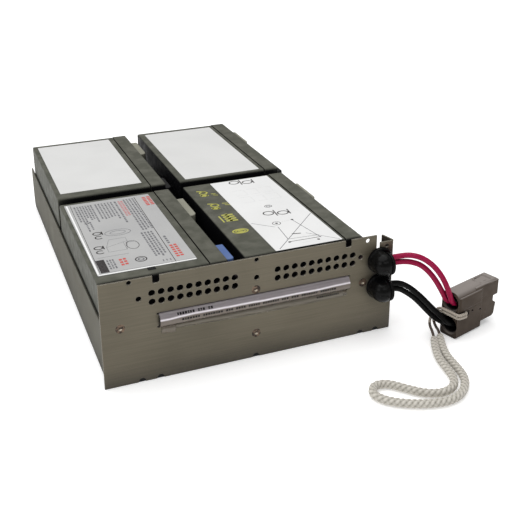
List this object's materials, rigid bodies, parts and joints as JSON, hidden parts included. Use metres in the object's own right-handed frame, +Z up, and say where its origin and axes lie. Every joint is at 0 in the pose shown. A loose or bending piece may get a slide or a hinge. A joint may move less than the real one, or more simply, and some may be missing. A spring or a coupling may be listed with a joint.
{
  "type": "ups battery cartridge",
  "caption": "Slide-in battery cartridge for a rack power supply: sealed batteries in an open tray with a vented front panel, film pull handle, power connector and rope pull",
  "frame": {"origin": "centre of the tray's underside, midway across the front panel's width and midway along the tray's depth", "axes": "+X to the right seen from the front panel, +Y from the front panel towards the rear wall, +Z up"},
  "size_m": [0.2985, 0.4477, 0.078],
  "materials": {
    "tray_paint": "satin",
    "panel_paint": "satin",
    "rivet_steel": "satin",
    "clear_film": "clear gloss",
    "black_nylon": "satin",
    "foam_tape": "matte",
    "battery_case": "matte",
    "battery_lid": "matte",
    "terminal_tin": "plated",
    "label_white": "satin",
    "cover_beige": "satin",
    "boot_blue": "satin",
    "boot_black": "satin",
    "red_insulation": "soft gloss",
    "black_insulation": "soft gloss",
    "connector_grey": "matte",
    "contact_silver": "plated",
    "spring_steel": "bright",
    "tie_white": "woven",
    "rope_braid": "braided"
  },
  "bodies": {
    "root": {"tray": "tray_paint", "front_panel": "panel_paint", "panel_rivets": "rivet_steel", "pull_handle": "clear_film", "gland_upper": "black_nylon", "gland_lower": "black_nylon", "mounting_pads_front": "foam_tape", "mounting_pads_rear": "foam_tape", "case_front_left": "battery_case", "lid_front_left": "battery_lid", "vent_cover_front_left": "battery_lid", "terminals_front_left": "terminal_tin", "label_front_left": "label_white", "terminal_cover_front_left": "cover_beige", "terminal_boot_front_left": "boot_blue", "case_front_right": "battery_case", "lid_front_right": "battery_lid", "vent_cover_front_right": "battery_lid", "terminals_front_right": "terminal_tin", "label_front_right": "label_white", "terminal_cover_front_right": "cover_beige", "terminal_boot_front_right": "boot_black", "case_rear_left": "battery_case", "lid_rear_left": "battery_lid", "vent_cover_rear_left": "battery_lid", "terminals_rear_left": "terminal_tin", "label_rear_left": "label_white", "terminal_cover_rear_left": "cover_beige", "terminal_boot_rear_left": "boot_black", "case_rear_right": "battery_case", "lid_rear_right": "battery_lid", "vent_cover_rear_right": "battery_lid", "terminals_rear_right": "terminal_tin", "label_rear_right": "label_white", "terminal_cover_rear_right": "cover_beige", "terminal_boot_rear_right": "boot_black", "lead_red_left": "red_insulation", "lead_red_right": "red_insulation", "lead_black_left": "black_insulation", "lead_black_right": "black_insulation", "jumper_left": "black_insulation", "jumper_right": "black_insulation", "red_cable_1": "red_insulation", "red_cable_2": "red_insulation", "black_cable_1": "black_insulation", "black_cable_2": "black_insulation", "connector_housing": "connector_grey", "connector_contacts": "contact_silver", "connector_springs": "spring_steel", "rope_tie_upper": "tie_white", "rope_tie_lower": "tie_white", "pull_rope": "rope_braid"}
  },
  "joints": []
}
